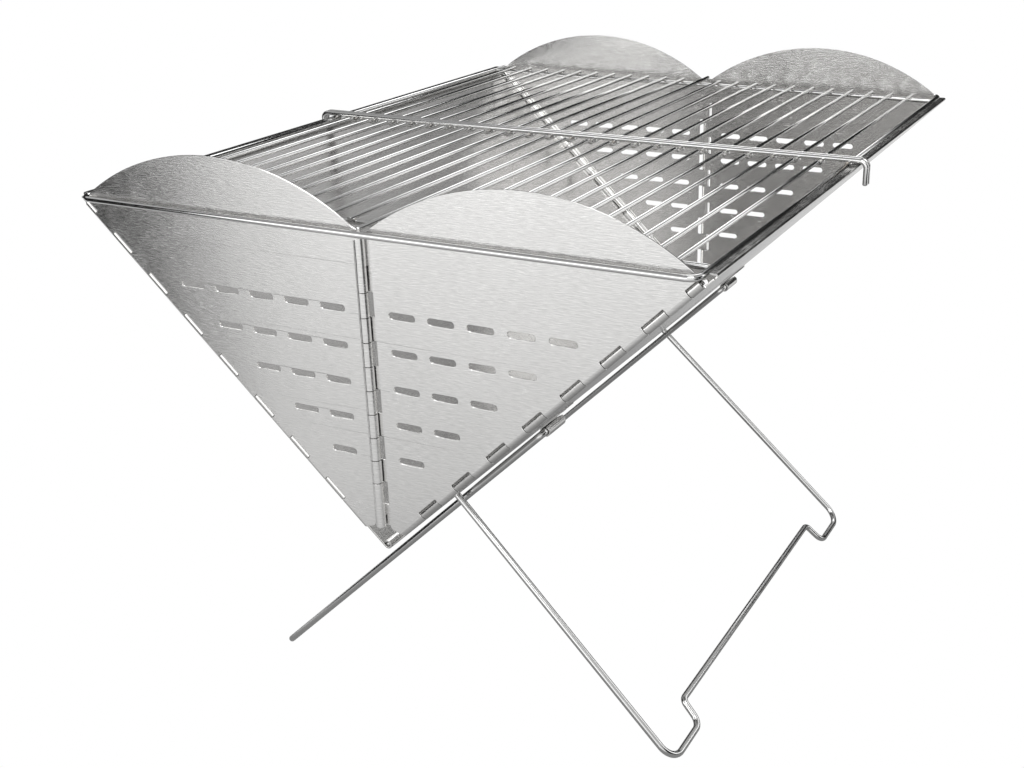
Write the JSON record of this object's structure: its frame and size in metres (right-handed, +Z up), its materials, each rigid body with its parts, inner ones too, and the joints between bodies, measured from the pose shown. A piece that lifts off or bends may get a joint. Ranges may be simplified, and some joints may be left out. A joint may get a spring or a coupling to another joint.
{
  "type": "folding camp grill",
  "caption": "Portable charcoal grill: a V-shaped trough of hinged steel panels with vent slots, on crossed folding wire legs, under a lift-off wire grate in two halves.",
  "frame": {"origin": "on the ground, under the middle of the grill", "axes": "+Z up, +Y along the length from front to rear, +X to the right across the width"},
  "size_m": [0.3698, 0.4632, 0.3399],
  "materials": {
    "panel_sheet": "brushed, lengthwise",
    "hinge_parts": "satin",
    "polished_wire": "polished"
  },
  "bodies": {
    "trough": {"left_side_panel": "panel_sheet", "right_side_panel": "panel_sheet", "front_left_end_panel": "panel_sheet", "front_right_end_panel": "panel_sheet", "rear_left_end_panel": "panel_sheet", "rear_right_end_panel": "panel_sheet", "bottom_hinge_pin": "hinge_parts", "front_centre_hinge_pin": "hinge_parts", "rear_centre_hinge_pin": "hinge_parts", "front_left_corner_hinge_pin": "hinge_parts", "front_right_corner_hinge_pin": "hinge_parts", "rear_left_corner_hinge_pin": "hinge_parts", "rear_right_corner_hinge_pin": "hinge_parts", "left_leg_front_bracket": "hinge_parts", "left_leg_rear_bracket": "hinge_parts", "right_leg_front_bracket": "hinge_parts", "right_leg_rear_bracket": "hinge_parts"},
    "left_leg_frame": {"left_leg": "polished_wire"},
    "right_leg_frame": {"right_leg": "polished_wire"},
    "front_grate": {"front_grate_frame_wire": "polished_wire", "front_grate_bars": "polished_wire", "front_grate_middle_rod": "polished_wire"},
    "rear_grate": {"rear_grate_frame_wire": "polished_wire", "rear_grate_bars": "polished_wire", "rear_grate_middle_rod": "polished_wire"}
  },
  "joints": [
    {"name": "left_leg_fold", "type": "hinge", "parent": "trough", "child": "left_leg_frame", "pos_m": [-0.059, 0, 0.19029], "axis": [0, 1, 0], "range_deg": [0, 180]},
    {"name": "right_leg_fold", "type": "hinge", "parent": "trough", "child": "right_leg_frame", "pos_m": [0.04745, 0, 0.17922], "axis": [0, 1, 0], "range_deg": [-180, 0]},
    {"name": "front_grate_lift", "type": "slide", "parent": "trough", "child": "front_grate", "axis": [0, 0, 1], "range_m": [0, 0.12]},
    {"name": "rear_grate_lift", "type": "slide", "parent": "trough", "child": "rear_grate", "axis": [0, 0, 1], "range_m": [0, 0.12]}
  ],
  "couplings": [
    {"joint": "right_leg_fold", "follows": "left_leg_fold", "ratio": -1}
  ]
}
